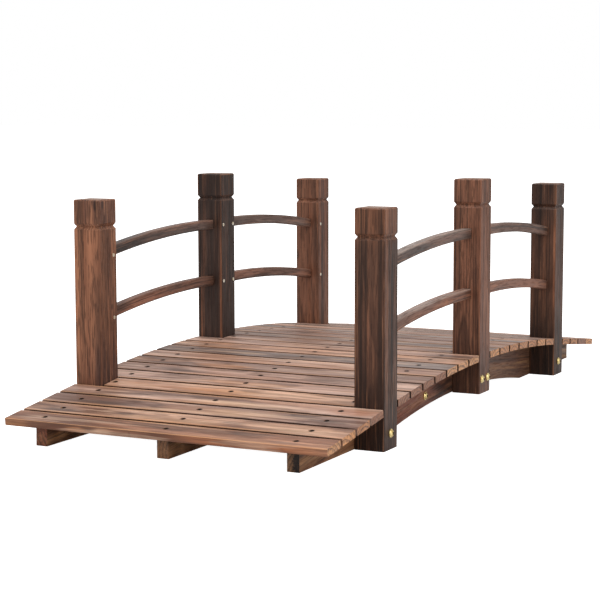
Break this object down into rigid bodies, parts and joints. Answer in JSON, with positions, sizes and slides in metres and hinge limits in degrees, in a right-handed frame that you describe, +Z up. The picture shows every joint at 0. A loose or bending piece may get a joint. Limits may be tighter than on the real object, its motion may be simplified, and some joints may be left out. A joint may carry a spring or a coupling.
{
  "type": "low arched garden footbridge",
  "caption": "Low arched wooden garden footbridge with a slatted deck on arched stringers, grooved square posts and bowed double rails.",
  "frame": {"origin": "centre of the bridge's footprint, on the ground that its feet stand on", "axes": "+X along the bridge towards its far end, +Y across it to the left railing, +Z up"},
  "size_m": [1.5198, 0.67, 0.4775],
  "materials": {
    "deck_wood": "lightly charred and brushed fir, matt stain",
    "post_wood": "charred fir with dark grain stripes, satin stain",
    "rail_wood": "charred fir with fine grey-brown grain, satin stain",
    "stringer_wood": "charred fir plank, matt stain",
    "bolt_brass": "yellow-passivated, slightly dulled",
    "screw_steel": "small bright and darkened screw heads"
  },
  "bodies": {
    "root": {"deck_board_01": "deck_wood", "deck_board_02": "deck_wood", "deck_board_03": "deck_wood", "deck_board_04": "deck_wood", "deck_board_05": "deck_wood", "deck_board_06": "deck_wood", "deck_board_07": "deck_wood", "deck_board_08": "deck_wood", "deck_board_09": "deck_wood", "deck_board_10": "deck_wood", "deck_board_11": "deck_wood", "deck_board_12": "deck_wood", "deck_board_13": "deck_wood", "deck_board_14": "deck_wood", "deck_board_15": "deck_wood", "deck_board_16": "deck_wood", "deck_board_17": "deck_wood", "deck_board_18": "deck_wood", "deck_board_19": "deck_wood", "deck_board_20": "deck_wood", "deck_board_21": "deck_wood", "deck_board_22": "deck_wood", "deck_board_23": "deck_wood", "deck_board_24": "deck_wood", "deck_board_25": "deck_wood", "post_left_far": "post_wood", "post_left_mid": "post_wood", "post_left_near": "post_wood", "post_right_far": "post_wood", "post_right_mid": "post_wood", "post_right_near": "post_wood", "rail_left_far_lower": "rail_wood", "rail_left_far_upper": "rail_wood", "rail_left_near_lower": "rail_wood", "rail_left_near_upper": "rail_wood", "rail_right_far_lower": "rail_wood", "rail_right_far_upper": "rail_wood", "rail_right_near_lower": "rail_wood", "rail_right_near_upper": "rail_wood", "splice_cleat_centre": "stringer_wood", "splice_cleat_left": "stringer_wood", "splice_cleat_right": "stringer_wood", "stringer_centre_far": "stringer_wood", "stringer_centre_near": "stringer_wood", "stringer_left_far": "stringer_wood", "stringer_left_near": "stringer_wood", "stringer_right_far": "stringer_wood", "stringer_right_near": "stringer_wood"}
  },
  "joints": []
}
